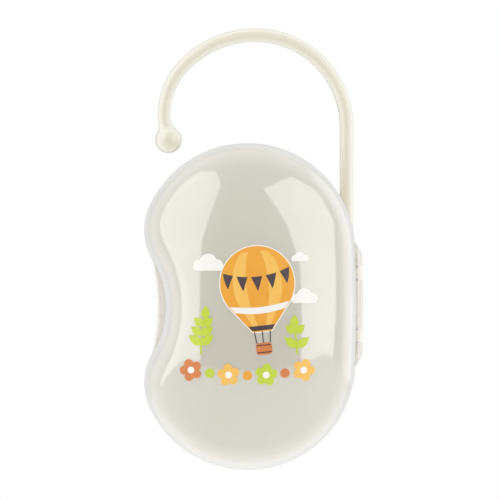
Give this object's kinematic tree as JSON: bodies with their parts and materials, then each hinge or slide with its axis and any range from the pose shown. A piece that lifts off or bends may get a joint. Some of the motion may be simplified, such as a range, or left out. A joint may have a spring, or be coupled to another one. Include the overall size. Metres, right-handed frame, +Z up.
{
  "type": "pacifier case",
  "caption": "Kidney-shaped hinged case for soothers, with an ivory back shell, a clear front lid with a thumb lip, and a ball-ended rod hook for hanging it from a strap or handle bar.",
  "frame": {"origin": "the point inside the top of the hook's arch where the case hangs from a strap or bar", "axes": "+Z up along the case's height, +X to the hinge side, +Y to the back, so the lid faces -Y"},
  "size_m": [0.0669, 0.0415, 0.1353],
  "materials": {
    "ivory_plastic": "glossy ivory polypropylene",
    "clear_plastic": "glossy milky clear polypropylene with a printed motif on the front",
    "pin_plastic": "plain moulded acetal"
  },
  "bodies": {
    "case": {"back_shell": "ivory_plastic"},
    "lid": {"front_lid": "clear_plastic", "hinge_pin": "pin_plastic"},
    "hook": {"carry_hook": "ivory_plastic"}
  },
  "joints": [
    {"name": "lid_hinge", "type": "hinge", "parent": "case", "child": "lid", "pos_m": [0.0307, -0.0036, -0.0804], "axis": [0, 0, 1], "range_deg": [0, 165]},
    {"name": "hook_flex", "type": "hinge", "parent": "case", "child": "hook", "pos_m": [0.028, 0, -0.0571], "axis": [0, 0, 1], "range_deg": [-30, 30], "stiffness_Nm_per_rad": 0.07}
  ]
}
